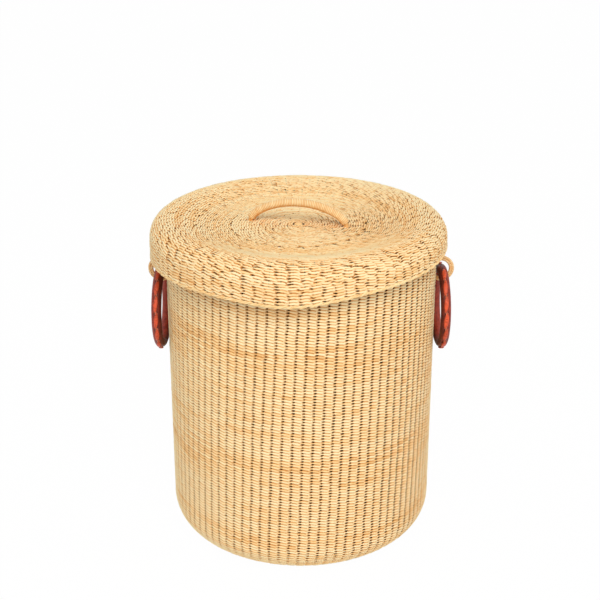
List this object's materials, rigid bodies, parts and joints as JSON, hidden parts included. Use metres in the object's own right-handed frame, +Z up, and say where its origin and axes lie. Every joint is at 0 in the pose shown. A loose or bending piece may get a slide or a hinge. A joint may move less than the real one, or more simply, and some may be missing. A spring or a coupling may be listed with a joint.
{
  "type": "laundry basket",
  "caption": "Tall round laundry basket of twined grass with a loose lid, an arched lid handle and leather ring handles hanging from grass loops at its sides.",
  "frame": {"origin": "centre of the underside of the base, at the height that the basket stands on", "axes": "+Z up along the basket's axis, -Y towards the front, and the ring handles hang at +X and -X"},
  "size_m": [0.4556, 0.4408, 0.5202],
  "materials": {
    "pale_straw": "twined dry grass, satin",
    "golden_straw": "split straw wound tight, soft sheen",
    "red_leather": "dyed goat leather, worn gloss"
  },
  "bodies": {
    "basket": {"base_weave": "pale_straw", "wall_weave": "pale_straw", "rim_border": "pale_straw", "loop_core_left": "pale_straw", "loop_core_right": "pale_straw", "loop_wrap_left": "pale_straw", "loop_wrap_right": "pale_straw"},
    "lid": {"lid_top_weave": "pale_straw", "lid_skirt_weave": "pale_straw", "lid_border": "pale_straw", "lid_handle_core": "golden_straw", "lid_handle_wrap": "golden_straw", "lid_handle_knot_left": "pale_straw", "lid_handle_knot_right": "pale_straw"},
    "left_ring": {"ring_core_left": "pale_straw", "ring_leather_left": "red_leather", "ring_lacing_left": "red_leather"},
    "right_ring": {"ring_core_right": "pale_straw", "ring_leather_right": "red_leather", "ring_lacing_right": "red_leather"}
  },
  "joints": [
    {"name": "lid_lift", "type": "slide", "parent": "basket", "child": "lid", "axis": [0, 0, 1], "range_m": [0, 0.3]},
    {"name": "left_ring_swing", "type": "hinge", "parent": "basket", "child": "left_ring", "pos_m": [-0.20977, 0, 0.40863], "axis": [0.0436, 0.999, 0], "range_deg": [0, 143]},
    {"name": "right_ring_swing", "type": "hinge", "parent": "basket", "child": "right_ring", "pos_m": [0.20977, 0, 0.40863], "axis": [0.0436, -0.999, 0], "range_deg": [0, 160]}
  ]
}
